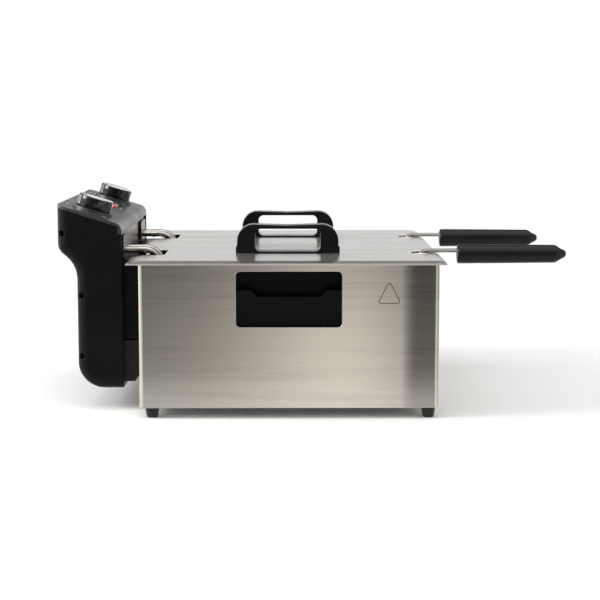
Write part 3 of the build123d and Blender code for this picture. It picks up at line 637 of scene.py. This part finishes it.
def uWires(tree, span, depth, across, count, corner, turn):
    index = add(tree, "GeometryNodeInputIndex").outputs[0]
    side, low = sideways(tree, index, span, math2(tree, "MULTIPLY", depth, -1.0))
    line = add(tree, "GeometryNodeMeshLine", {"Count": 4})
    where = add(tree, "ShaderNodeCombineXYZ", {0: side, 2: low})
    moved = add(tree, "GeometryNodeSetPosition", {"Geometry": line.outputs[0], "Position": where.outputs[0]})
    curve = add(tree, "GeometryNodeMeshToCurve", {0: moved.outputs[0]})
    inputs = {"Curve": curve.outputs[0], "Radius": corner, "Count": 4}
    bent = add(tree, "GeometryNodeFilletCurve", inputs, mode="POLY")
    gaps = math2(tree, "SUBTRACT", count, 1.0)
    start = add(tree, "ShaderNodeCombineXYZ", {1: math2(tree, "MULTIPLY", across, -0.5)})
    step = add(tree, "ShaderNodeCombineXYZ", {1: math2(tree, "DIVIDE", across, gaps)})
    row = add(tree, "GeometryNodeMeshLine", {
        "Count": count, "Start Location": start.outputs[0], "Offset": step.outputs[0],
    })
    spread = add(tree, "GeometryNodeInstanceOnPoints", {
        "Points": row.outputs[0], "Instance": bent.outputs[0],
    })
    turned = add(tree, "GeometryNodeTransform", {"Geometry": spread.outputs[0], "Rotation": (0, 0, turn)})
    return add(tree, "GeometryNodeRealizeInstances", {0: turned.outputs[0]}).outputs[0]


def basketTree():
    tree, given = newTree("wireBasket", {
        "Length": "Float", "Width": "Float", "Depth": "Float", "Corner": "Float", "Floor Corner": "Float",
        "Pitch": "Float", "Wire Radius": "Float", "Frame Radius": "Float",
    })
    thin = add(tree, "GeometryNodeCurvePrimitiveCircle", {"Resolution": 6, "Radius": given["Wire Radius"]})
    thick = add(tree, "GeometryNodeCurvePrimitiveCircle", {"Resolution": 10, "Radius": given["Frame Radius"]})
    ring = roundedRing(tree, given["Length"], given["Width"], given["Corner"])
    straightY = math2(tree, "SUBTRACT", given["Width"], math2(tree, "MULTIPLY", given["Corner"], 2.0))
    straightX = math2(tree, "SUBTRACT", given["Length"], math2(tree, "MULTIPLY", given["Corner"], 2.0))
    wires = []
    for span, across, turn in (
        (given["Length"], straightY, 0.0),
        (given["Width"], straightX, math.pi / 2),
    ):
        steps = math2(tree, "ROUND", math2(tree, "DIVIDE", across, given["Pitch"]), 0)
        count = math2(tree, "ADD", steps, 1.0)
        wires.append(uWires(tree, span, given["Depth"], across, count, given["Floor Corner"], turn))
    rows = math2(tree, "ROUND", math2(tree, "DIVIDE", given["Depth"], given["Pitch"]), 0)
    fall = add(tree, "ShaderNodeCombineXYZ", {2: math2(tree, "MULTIPLY", given["Pitch"], -1.0)})
    level = add(tree, "GeometryNodeMeshLine", {"Count": rows, "Offset": fall.outputs[0]})
    rings = add(tree, "GeometryNodeInstanceOnPoints", {"Points": level.outputs[0], "Instance": ring})
    wires.append(add(tree, "GeometryNodeRealizeInstances", {0: rings.outputs[0]}).outputs[0])
    bundle = add(tree, "GeometryNodeJoinGeometry")
    for wire in wires:
        tree.links.new(wire, bundle.inputs[0])
    mesh = add(tree, "GeometryNodeCurveToMesh", {
        "Curve": bundle.outputs[0], "Profile Curve": thin.outputs[0],
    })
    mesh.inputs["Fill Caps"].default_value = True
    rim = add(tree, "GeometryNodeCurveToMesh", {"Curve": ring, "Profile Curve": thick.outputs[0]})
    both = add(tree, "GeometryNodeJoinGeometry")
    tree.links.new(mesh.outputs[0], both.inputs[0])
    tree.links.new(rim.outputs[0], both.inputs[0])
    closeTree(tree, both.outputs[0], materials["basket_wire"])
    return tree


def makeBasket(side, tree):
    node = "basket_" + side
    low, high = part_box(node)
    size = high - low
    inset = 2 * basket["frame"] * mm
    mesh = grow(tree, {
        "Length": size.x - inset, "Width": size.y - inset, "Depth": size.z - inset,
        "Corner": basket["corner"] * mm, "Floor Corner": basket["floorCorner"] * mm,
        "Pitch": basket["pitch"] * mm, "Wire Radius": basket["wire"] * mm,
        "Frame Radius": basket["frame"] * mm,
    })
    middle = (low + high) / 2
    mesh.transform(Matrix.Translation((middle.x, middle.y, high.z - basket["frame"] * mm)))
    smooth(mesh, 60)
    place(node + "_woven", mesh, node, None, [node])


basketShape = basketTree()
for side in ("near", "far"):
    makeBasket(side, basketShape)
print("baskets woven")


# Knobs and their dials.

slope = math.radians(17.5)
dial = {
    "ticks": 13, "sweep": 250.0, "inner": 22.2, "length": 2.2, "width": 0.5, "thick": 0.08,
    "numbers": ("0", "130", "150", "170", "190"), "numberRadius": 27.0, "numberHeight": 3.2,
    "typeRatio": 1.4, "knobSides": 96, "dish": 0.3, "lip": 1.3,
    "pointerInset": 1.6, "pointerShare": 0.34, "pointerWidth": 1.3, "pointerRound": 0.15,
}
lampMarks = {"count": 4, "pitch": 7.0, "ahead": 7.5, "slant": 20.0, "length": 3.2, "width": 0.9}
panelUp = Vector((math.sin(slope), 0, math.cos(slope)))


def panelFrame(node):
    # the sloping panel's own axes at the middle of a knob
    knobMiddle = boxMiddle(node)
    along = Vector((math.cos(slope), 0, -math.sin(slope)))
    return Matrix((
        (along.x, 0, panelUp.x, knobMiddle.x),
        (0, 1, 0, knobMiddle.y),
        (along.z, 0, panelUp.z, knobMiddle.z),
        (0, 0, 0, 1),
    ))


def knobProfile(radius, height):
    # radius and height of each ring, from the open underside round to the middle of the dished top
    half = height / 2
    lip, dish = dial["lip"] * mm, dial["dish"] * mm
    return [
        (radius * 0.86, -half + 0.8 * mm), (radius * 0.9, -half), (radius - 0.5 * mm, -half),
        (radius - 0.12 * mm, -half + 0.15 * mm), (radius, -half + 0.55 * mm),
        (radius, half - 1.0 * mm), (radius - 0.1 * mm, half - 0.5 * mm),
        (radius - 0.35 * mm, half - 0.15 * mm), (radius - 0.8 * mm, half),
        (radius - lip, half), (radius - lip - 0.5 * mm, half - dish * 0.4),
        (radius - lip - 1.4 * mm, half - dish), (radius * 0.45, half - dish), (radius * 0.1, half - dish),
    ]


def skin(shape, rings):
    # faces between rings of the same count, and one over each end
    sides = len(rings[0])
    for lower, upper in zip(rings, rings[1:]):
        for i in range(sides):
            j = (i + 1) % sides
            shape.faces.new((lower[i], lower[j], upper[j], upper[i]))
    shape.faces.new(rings[-1])
    shape.faces.new(rings[0][::-1])
    bmesh.ops.recalc_face_normals(shape, faces=shape.faces)


def spun(profile, sides):
    shape = bmesh.new()
    rings = []
    for radius, z in profile:
        ring = []
        for i in range(sides):
            angle = 2 * math.pi * i / sides
            ring.append(shape.verts.new((radius * math.cos(angle), radius * math.sin(angle), z)))
        rings.append(ring)
    skin(shape, rings)
    return shape


def makeKnob(side):
    node = "knob_" + side
    low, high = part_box(node)
    radius = (high.y - low.y) / 2
    # the box of a disc tilted by the slope gives its height
    height = ((high.z - low.z) - 2 * radius * math.sin(slope)) / math.cos(slope)
    mesh = toMesh(node, spun(knobProfile(radius, height), dial["knobSides"]))
    mesh.transform(panelFrame(node))
    smooth(mesh, 50)
    place(node + "_gloss", mesh, node, materials["knob_plastic"], [node])
    pointer = bmesh.new()
    bmesh.ops.create_cube(pointer, size=1.0)
    reach = radius * dial["pointerShare"]
    for vertex in pointer.verts:
        vertex.co = Vector((
            -radius + dial["pointerInset"] * mm + reach / 2 + vertex.co.x * reach,
            vertex.co.y * dial["pointerWidth"] * mm,
            height / 2 - dial["dish"] * mm / 2 + vertex.co.z * dial["dish"] * 0.9 * mm,
        ))
    rounding = dial["pointerRound"] * mm
    bmesh.ops.bevel(pointer, geom=pointer.edges[:], offset=rounding, segments=2, affect="EDGES")
    line = toMesh(node + "_pointer", pointer)
    line.transform(panelFrame(node))
    place(node + "_pointer", line, node, inkWhite)


def tickTree():
    tree, given = newTree("dialTicks", {
        "Count": "Int", "Sweep": "Float", "Radius": "Float",
        "Length": "Float", "Width": "Float", "Thick": "Float",
    })
    index = add(tree, "GeometryNodeInputIndex").outputs[0]
    gaps = math2(tree, "SUBTRACT", given["Count"], 1.0)
    share = math2(tree, "SUBTRACT", math2(tree, "DIVIDE", index, gaps), 0.5)
    angle = math2(tree, "MULTIPLY", share, given["Sweep"])
    cosine = math2(tree, "COSINE", angle, 0)
    sine = math2(tree, "SINE", angle, 0)
    where = add(tree, "ShaderNodeCombineXYZ", {
        0: math2(tree, "MULTIPLY", math2(tree, "MULTIPLY", cosine, given["Radius"]), -1.0),
        1: math2(tree, "MULTIPLY", sine, given["Radius"]),
    })
    row = add(tree, "GeometryNodeMeshLine", {"Count": given["Count"]})
    arc = add(tree, "GeometryNodeSetPosition", {"Geometry": row.outputs[0], "Position": where.outputs[0]})
    size = add(tree, "ShaderNodeCombineXYZ", {0: given["Length"], 1: given["Width"], 2: given["Thick"]})
    tick = add(tree, "GeometryNodeMeshCube", {"Size": size.outputs[0]})
    turn = add(tree, "ShaderNodeCombineXYZ", {2: math2(tree, "MULTIPLY", angle, -1.0)})
    spread = add(tree, "GeometryNodeInstanceOnPoints", {
        "Points": arc.outputs[0], "Instance": tick.outputs[0], "Rotation": turn.outputs[0],
    })
    closeTree(tree, spread.outputs[0], inkWhite)
    return tree


def panelOrigin(side):
    # the knob's axes, lowered on to the panel's own face
    axes = panelFrame("knob_" + side)
    low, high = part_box("control_panel")
    peak = Vector((low.x, 0, high.z))
    middle = axes.translation
    above = (middle - peak).dot(panelUp)
    axes.translation = middle - panelUp * (above - dial["thick"] / 2 * mm)
    return axes


def makeDial(side, tree):
    axes = panelOrigin(side)
    mesh = grow(tree, {
        "Count": dial["ticks"], "Sweep": math.radians(dial["sweep"]), "Radius": (dial["inner"] + 1) * mm,
        "Length": dial["length"] * mm, "Width": dial["width"] * mm, "Thick": dial["thick"] * mm,
    })
    mesh.transform(axes)
    place("dial_ticks_" + side, mesh, "head")
    joined = bmesh.new()
    numbers = dial["numbers"]
    for i, label in enumerate(numbers):
        angle = math.radians(dial["sweep"]) * (i / (len(numbers) - 1) - 0.5)
        text = bpy.data.curves.new("number", "FONT")
        text.body = label
        text.size = dial["numberHeight"] * mm * dial["typeRatio"]
        text.align_x = "CENTER"
        text.align_y = "CENTER"
        text.extrude = dial["thick"] / 2 * mm
        text.resolution_u = 2
        flat = plainMesh(newObject("number", text))
        reach = dial["numberRadius"] * mm
        spot = Matrix.Translation((-math.cos(angle) * reach, math.sin(angle) * reach, 0))
        flat.transform(spot @ Matrix.Rotation(math.radians(90), 4, "Z"))
        joined.from_mesh(flat)
    mesh = toMesh("dial_numbers_" + side, joined)
    mesh.transform(axes)
    place("dial_numbers_" + side, mesh, "head", inkWhite)


def makeLampMarks():
    # short slanting strokes printed in front of the two lamps
    lamps = (boxMiddle("power_lamp") + boxMiddle("ready_lamp")) / 2
    axes = panelOrigin("near")
    spot = axes.inverted() @ lamps
    shape = bmesh.new()
    for i in range(lampMarks["count"]):
        across = (i - (lampMarks["count"] - 1) / 2) * lampMarks["pitch"] * mm
        where = Matrix.Translation((spot.x + lampMarks["ahead"] * mm, spot.y + across, 0))
        turn = Matrix.Rotation(math.radians(lampMarks["slant"]), 4, "Z")
        size = Matrix.Diagonal((lampMarks["length"] * mm, lampMarks["width"] * mm, dial["thick"] * mm, 1))
        bmesh.ops.create_cube(shape, size=1.0, matrix=where @ turn @ size)
    mesh = toMesh("lamp_marks", shape)
    mesh.transform(axes)
    place("lamp_marks", mesh, "head", inkWhite)


tickShape = tickTree()
makeLampMarks()
for side in ("near", "far"):
    makeKnob(side)
    makeDial(side, tickShape)
print("knobs and dials made")


# Small trim.

slotRim = {"proud": 0.5, "wide": 0.9, "length": 30.0, "width": 18.0, "below": 1.2, "wireSpacing": 12.0}
mark = {"left": 88.5, "right": 110.8, "low": 116.5, "high": 136.3, "line": 1.0, "proud": 0.06, "round": 2.0}
gripShape = {
    "tip": 12.5, "tipRadius": 2.6, "thinner": 0.7, "sides": 96, "ridge": 0.08, "hole": 3.0,
    "screwGap": 0.1, "cutPast": 1.0,
}


def loopMesh(name, path, section):
    # a closed path swept with a small closed section; section points are (outward, up)
    shape = bmesh.new()
    count = len(path)
    rings = []
    for i, point in enumerate(path):
        before, after = path[i - 1], path[(i + 1) % count]
        first = (point[0] - before[0], point[1] - before[1])
        second = (after[0] - point[0], after[1] - point[1])
        firstLength, secondLength = math.hypot(*first), math.hypot(*second)
        outA = (first[1] / firstLength, -first[0] / firstLength)
        outB = (second[1] / secondLength, -second[0] / secondLength)
        outX, outZ = outA[0] + outB[0], outA[1] + outB[1]
        scale = 2 / (outX ** 2 + outZ ** 2)
        ring = [
            shape.verts.new((point[0] + outX * scale * out, point[1] + outZ * scale * out, high))
            for out, high in section
        ]
        rings.append(ring)
    size = len(section)
    for i in range(count):
        a, b = rings[i], rings[(i + 1) % count]
        for k in range(size):
            shape.faces.new((a[k], b[k], b[(k + 1) % size], a[(k + 1) % size]))
    bmesh.ops.recalc_face_normals(shape, faces=shape.faces)
    mesh = toMesh(name, shape)
    smooth(mesh, 50)
    return mesh


def arcPoints(centre, radius, start, end, steps):
    angles = [math.radians(start + (end - start) * i / steps) for i in range(steps + 1)]
    return [(centre[0] + radius * math.cos(a), centre[1] + radius * math.sin(a)) for a in angles]


def makeSlotRims(side):
    # the rolled edge round the slot that the basket wires come out of
    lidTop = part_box("lid_" + side)[1].z
    lowWire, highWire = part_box("handle_wires_" + side)
    radius = slotRim["width"] / 2 * mm
    half = slotRim["length"] / 2 * mm - radius
    path = arcPoints((0, half), radius, 0, 180, 12) + arcPoints((0, -half), radius, 180, 360, 12)
    wide, proud = slotRim["wide"] * mm, slotRim["proud"] * mm
    section = [
        (0, -slotRim["below"] * mm), (0, proud * 0.6), (wide * 0.25, proud),
        (wide * 0.65, proud * 0.85), (wide, 0), (wide * 0.6, -0.1 * mm),
    ]
    mesh = loopMesh("slot_rim", path, section)
    middleY = (lowWire.y + highWire.y) / 2
    # the wires stand side by side, so their box is one spacing and one thickness wide
    wireX = lowWire.x + (highWire.y - lowWire.y - slotRim["wireSpacing"] * mm) / 2
    mesh.transform(Matrix.Translation((wireX, middleY, lidTop)))
    place("slot_rim_" + side, mesh, "lid_" + side, materials["lid_steel"])


def makeMark():
    # a plain triangle outline etched into the near long side
    low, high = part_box("housing_shell")
    middle = (low.x + high.x) / 2
    x0, x1 = mark["left"] * mm, mark["right"] * mm
    z0, z1 = mark["low"] * mm, mark["high"] * mm
    r = mark["round"] * mm
    top = (x0 + x1) / 2
    path = arcPoints((x0 + r * 1.5, z0 + r), r, 150, 270, 6)
    path += arcPoints((x1 - r * 1.5, z0 + r), r, 270, 390, 6)
    path += arcPoints((top, z1 - r), r, 30, 150, 6)
    wide, proud = mark["line"] / 2 * mm, mark["proud"] * mm
    mesh = loopMesh("etched_mark", path, [(-wide, 0), (-wide, proud), (wide, proud), (wide, 0)])
    upright = Matrix.Translation((middle, low.y, 0)) @ Matrix.Rotation(math.radians(90), 4, "X")
    mesh.transform(upright)
    place("etched_mark", mesh, "housing", inkGrey)


def gripProfile(length, radius):
    # distance along the grip and radius of each ring, from the wire end to the hanging end
    tip, neck = gripShape["tip"] * mm, gripShape["tipRadius"] * mm
    belly = radius - gripShape["thinner"] * mm
    return [
        (0.0, radius * 0.35), (0.0, radius * 0.72), (0.25 * mm, radius * 0.86), (0.9 * mm, radius * 0.955),
        (1.8 * mm, radius), (3.2 * mm, radius), (length * 0.5, (radius + belly) / 2),
        (length - tip - 4 * mm, belly), (length - tip, belly), (length - tip * 0.85, belly - 0.5 * mm),
        (length - tip * 0.5, neck + 4.1 * mm), (length - tip * 0.2, neck + 1.8 * mm),
        (length - tip * 0.05, neck + 0.6 * mm), (length, neck - 0.3 * mm), (length, neck * 0.3),
    ]


def cylinder(shape, middle, radius, low, high):
    spot = Matrix.Translation((middle[0], middle[1], (low + high) / 2))
    bmesh.ops.create_cone(
        shape, cap_ends=True, segments=32, radius1=radius, radius2=radius, depth=high - low, matrix=spot,
    )


def makeGrip(side):
    low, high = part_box("grip_" + side)
    middle = (low + high) / 2
    radius = (high.y - low.y) / 2
    sides = gripShape["sides"]
    shape = bmesh.new()
    rings = []
    for along, wide in gripProfile(high.x - low.x, radius):
        ring = []
        for i in range(sides):
            angle = 2 * math.pi * i / sides
            # the tool's parting line is the ridge left at the two sides
            reach = wide if i in (0, sides // 2) else wide - gripShape["ridge"] * mm
            across, rise = reach * math.cos(angle), reach * math.sin(angle)
            ring.append(shape.verts.new((low.x + along, middle.y + across, middle.z + rise)))
        rings.append(ring)
    skin(shape, rings)
    mesh = toMesh("grip", shape)
    # the hanging hole, and a counterbore from below for each screw
    holes = bmesh.new()
    past = gripShape["cutPast"] * mm
    hang = (high.x - gripShape["tip"] / 2 * mm, middle.y)
    cylinder(holes, hang, gripShape["hole"] * mm, low.z - past, high.z + past)
    for start, end in islandBoxes("grip_screws_" + side):
        wide = (end.y - start.y) / 2 + gripShape["screwGap"] * mm
        cylinder(holes, (start + end) / 2, wide, low.z - past, start.z + screwHead)
    cutter = newObject("holes", toMesh("holes", holes))
    settings = {"object": cutter, "operation": "DIFFERENCE", "solver": "EXACT"}
    mesh = evaluated("grip", mesh, [("BOOLEAN", settings)])
    bpy.data.objects.remove(cutter)
    smooth(mesh, 38)
    plastic = materials["grip_plastic"]
    place("grip_turned_" + side, mesh, "handle_" + side, plastic, ["grip_" + side])


for side in ("near", "far"):
    makeSlotRims(side)
    makeGrip(side)
makeMark()
print("trim made")


# Floor, world and lights.

stage = {
    "floorSize": 6.0, "floorColour": "f4f4f3", "frontFade": (-0.27, -0.46), "backFade": (0.45, 1.3),
    "mirrored": 0.35,
}
warm, cool = "fffaf3", "ffffff"
surround = {  # a stop is its position, brightness and tint; the spans run from -1 to 1
    "window": [
        (0.0, 0.95, cool), (0.2, 0.45, cool), (0.3, 0.25, cool), (0.40, 0.28, warm), (0.44, 0.37, warm),
        (0.467, 0.6, warm), (0.495, 0.86, warm), (0.52, 1.2, warm), (0.545, 1.2, warm),
        (0.562, 0.95, warm), (0.59, 0.4, warm), (0.63, 0.1, warm), (0.78, 0.14, warm), (1.0, 0.95, cool),
    ],
    "behind": [
        (0.0, 0.7, cool), (0.5, 1.12, cool), (0.62, 1.12, cool), (0.655, 0.08, warm),
        (0.93, 0.08, warm), (0.965, 1.7, cool), (1.0, 1.7, cool),
    ],
    "beside": [
        (0.0, 0.7, cool), (0.5, 1.12, cool), (0.8, 0.75, cool), (0.905, 1.7, cool), (1.0, 1.7, cool),
    ],
    "windowSpan": (-0.5, 0.5), "floorSpan": (-0.30, -0.20), "dimSpan": (-0.16, -0.10),
    "behindSpan": (0.25, 0.6), "frontSpan": (-0.75, -0.45), "lowSpan": (0.25, 0.6),
    "dimmed": 0.34, "floorGlow": (0.8, 0.79, 0.77, 1),
}


def makeFloor():
    shape = bmesh.new()
    bmesh.ops.create_grid(shape, x_segments=2, y_segments=2, size=stage["floorSize"] / 2)
    mesh = toMesh("floor", shape)
    floor = newObject("floor", mesh)
    material, tree = newMaterial("paper sweep, matt white")
    where = add(tree, "ShaderNodeTexCoord").outputs["Object"]
    parts = add(tree, "ShaderNodeSeparateXYZ", {0: where})
    near, gone = stage["frontFade"]
    front = between(tree, parts.outputs[1], 0.0, 1.0, gone, near)
    far, lost = stage["backFade"]
    back = between(tree, parts.outputs[1], 1.0, 0.0, far, lost)
    # reflections show the floor weaker than the camera sees it, which keeps the steel sides darker
    rays = add(tree, "ShaderNodeLightPath")
    mirrored = between(tree, rays.outputs["Is Glossy Ray"], 1.0, stage["mirrored"])
    solid = math2(tree, "MULTIPLY", math2(tree, "MULTIPLY", front, back), mirrored)
    paper = add(tree, "ShaderNodeBsdfDiffuse", {"Color": linear(stage["floorColour"])})
    clear = add(tree, "ShaderNodeBsdfTransparent")
    mixed = add(tree, "ShaderNodeMixShader", {0: solid, 1: clear.outputs[0], 2: paper.outputs[0]})
    add(tree, "ShaderNodeOutputMaterial", {"Surface": mixed.outputs[0]})
    mesh.materials.append(material)


def blend(tree, factor, first, second):
    return add(tree, "ShaderNodeMix", {0: factor, 6: first, 7: second}, data_type="RGBA").outputs[2]


def ramp(tree, factor, stops):
    node = add(tree, "ShaderNodeValToRGB", {0: factor})
    elements = node.color_ramp.elements
    while len(elements) < len(stops):
        elements.new(0.5)
    for element, (position, value, tint) in zip(elements, stops):
        element.position = position
        colour = linear(tint)
        element.color = (colour[0] * value, colour[1] * value, colour[2] * value, 1)
    return node.outputs[0]


def makeWorld():
    world = bpy.data.worlds.new("studio")
    bpy.context.scene.world = world
    world.use_nodes = True
    tree = world.node_tree
    tree.nodes.clear()
    direction = add(tree, "ShaderNodeTexCoord").outputs["Generated"]
    x, y, z = add(tree, "ShaderNodeSeparateXYZ", {0: direction}).outputs
    # in front of the fryer: a dark room with one tall soft window, seen in the brushed sides
    across = between(tree, x, 0.0, 1.0, *surround["windowSpan"])
    window = ramp(tree, across, surround["window"])
    isFloor = between(tree, z, 1.0, 0.0, *surround["floorSpan"])
    dim = between(tree, z, 1.0, surround["dimmed"], *surround["dimSpan"])
    dimmed = add(tree, "ShaderNodeVectorMath", {0: window, "Scale": dim}, operation="SCALE").outputs[0]
    front = blend(tree, isFloor, dimmed, surround["floorGlow"])
    # everywhere else a white sweep and a big soft ceiling, with a dark wall over the sweep at the back
    height = between(tree, z, 0.0, 1.0, -1.0, 1.0)
    behind = ramp(tree, height, surround["behind"])
    beside = ramp(tree, height, surround["beside"])
    isBehind = between(tree, y, 0.0, 1.0, *surround["behindSpan"])
    around = blend(tree, isBehind, beside, behind)
    isFront = between(tree, y, 1.0, 0.0, *surround["frontSpan"])
    isLow = between(tree, z, 1.0, 0.0, *surround["lowSpan"])
    both = blend(tree, math2(tree, "MULTIPLY", isFront, isLow), around, front)
    # the camera itself sees plain white
    lit = add(tree, "ShaderNodeBackground", {0: both, 1: 1.0}).outputs[0]
    white = add(tree, "ShaderNodeBackground", {0: (1, 1, 1, 1), 1: 1.0}).outputs[0]
    seen = add(tree, "ShaderNodeLightPath").outputs["Is Camera Ray"]
    mixed = add(tree, "ShaderNodeMixShader", {0: seen, 1: lit, 2: white})
    add(tree, "ShaderNodeOutputWorld", {0: mixed.outputs[0]})


softLights = {
    "key": dict(place=(-1.7, -0.45, 1.05), aim=(0, 0, 0.05), size=(0.9, 0.9), power=23.0),
    "strip": dict(place=(-1.5, 0.55, 0.45), aim=(-0.2, 0, 0.18), size=(0.18, 0.9), power=3.0),
}


def makeLight(name, light):
    lamp = bpy.data.lights.new(name, "AREA")
    lamp.shape = "RECTANGLE"
    lamp.size, lamp.size_y = light["size"]
    lamp.energy = light["power"]
    holder = newObject(name, lamp)
    holder.location = light["place"]
    direction = Vector(light["aim"]) - Vector(light["place"])
    holder.rotation_euler = direction.to_track_quat("-Z", "Y").to_euler()


makeFloor()
makeWorld()
for name, light in softLights.items():
    makeLight(name, light)
bpy.context.scene.view_settings.view_transform = "Standard"
print("floor and lights made")
